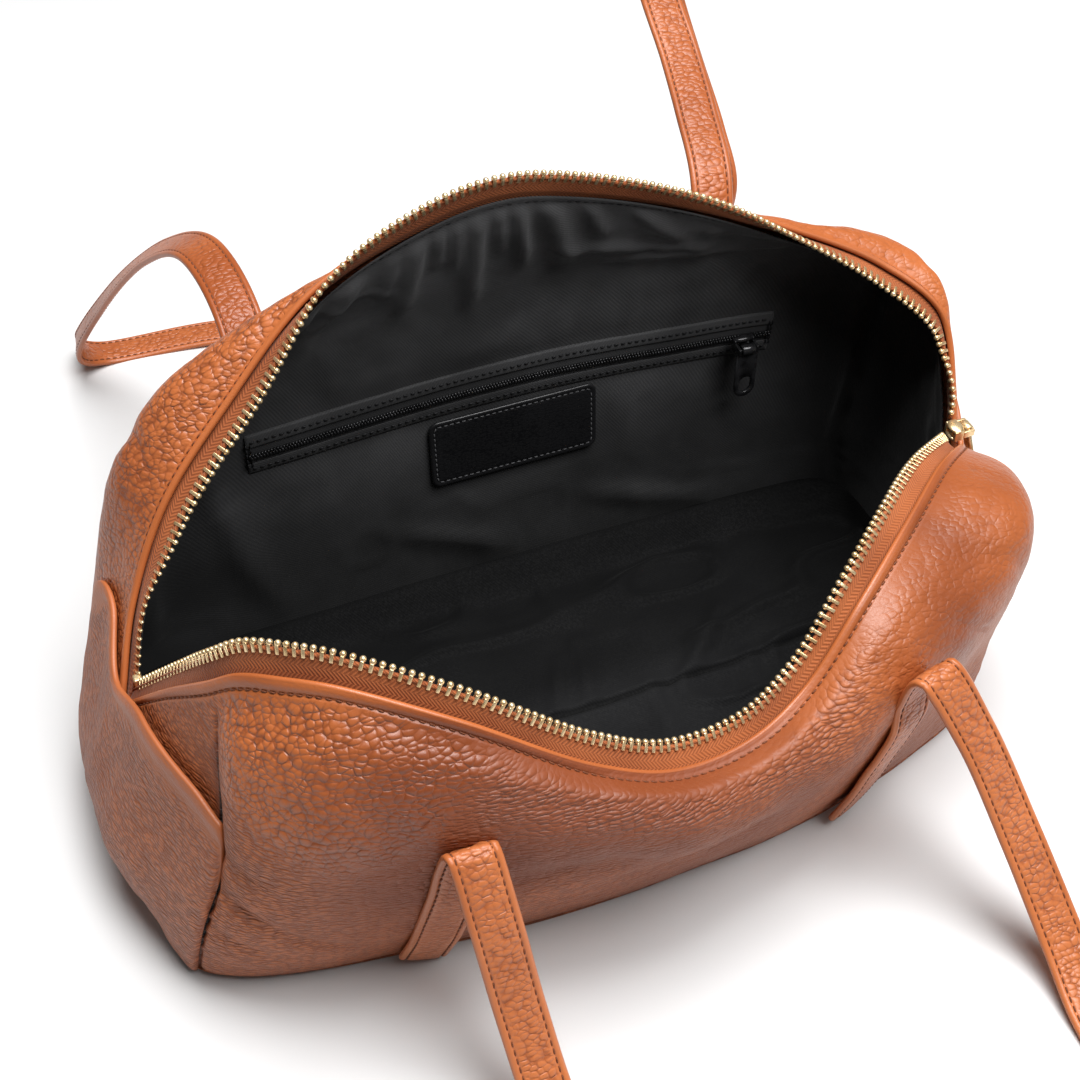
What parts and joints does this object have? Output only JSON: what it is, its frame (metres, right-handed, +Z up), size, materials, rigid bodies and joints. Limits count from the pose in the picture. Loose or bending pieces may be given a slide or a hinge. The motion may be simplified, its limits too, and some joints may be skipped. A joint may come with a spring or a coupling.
{
  "type": "shoulder bag",
  "caption": "Soft leather shoulder bag standing open on its base, with a long brass zip round the mouth, a dark cloth lining with an inner zip pocket, and flat handles laid on the floor.",
  "frame": {"origin": "on the floor under the middle of the base panel", "axes": "+Z up, +X along the bag towards the zip slider's end, front wall towards -Y"},
  "size_m": [0.3744, 0.7903, 0.2135],
  "materials": {
    "leather": "pebbled tan leather, half matt",
    "lining": "black twill",
    "zip_tape": "tan woven tape",
    "brass": "polished",
    "pocket_zip": "black, half gloss",
    "label_leather": "smooth black leather"
  },
  "bodies": {
    "bag": {"front_panel": "leather", "back_panel": "leather", "left_gusset": "leather", "right_gusset": "leather", "base_panel": "leather", "front_handle": "leather", "back_handle": "leather", "lining_front": "lining", "lining_back": "lining", "lining_base": "lining", "front_zip_tape": "zip_tape", "back_zip_tape": "zip_tape", "front_zip_teeth": "brass", "back_zip_teeth": "brass", "zip_slider": "brass", "zip_stop": "brass", "pocket_tape": "lining", "pocket_coil": "pocket_zip", "pocket_slider": "pocket_zip", "label": "label_leather"},
    "zip_pull": {"zip_pull": "brass"},
    "pocket_pull": {"pocket_pull": "pocket_zip"}
  },
  "joints": [
    {"name": "zip_pull_hinge", "type": "hinge", "parent": "bag", "child": "zip_pull", "pos_m": [0.1797, 0, 0.0918], "axis": [0, -1, 0], "range_deg": [0, 110]},
    {"name": "pocket_pull_hinge", "type": "hinge", "parent": "bag", "child": "pocket_pull", "pos_m": [0.11462, 0.06727, 0.10017], "axis": [-1, 0, 0], "range_deg": [0, 75]}
  ]
}
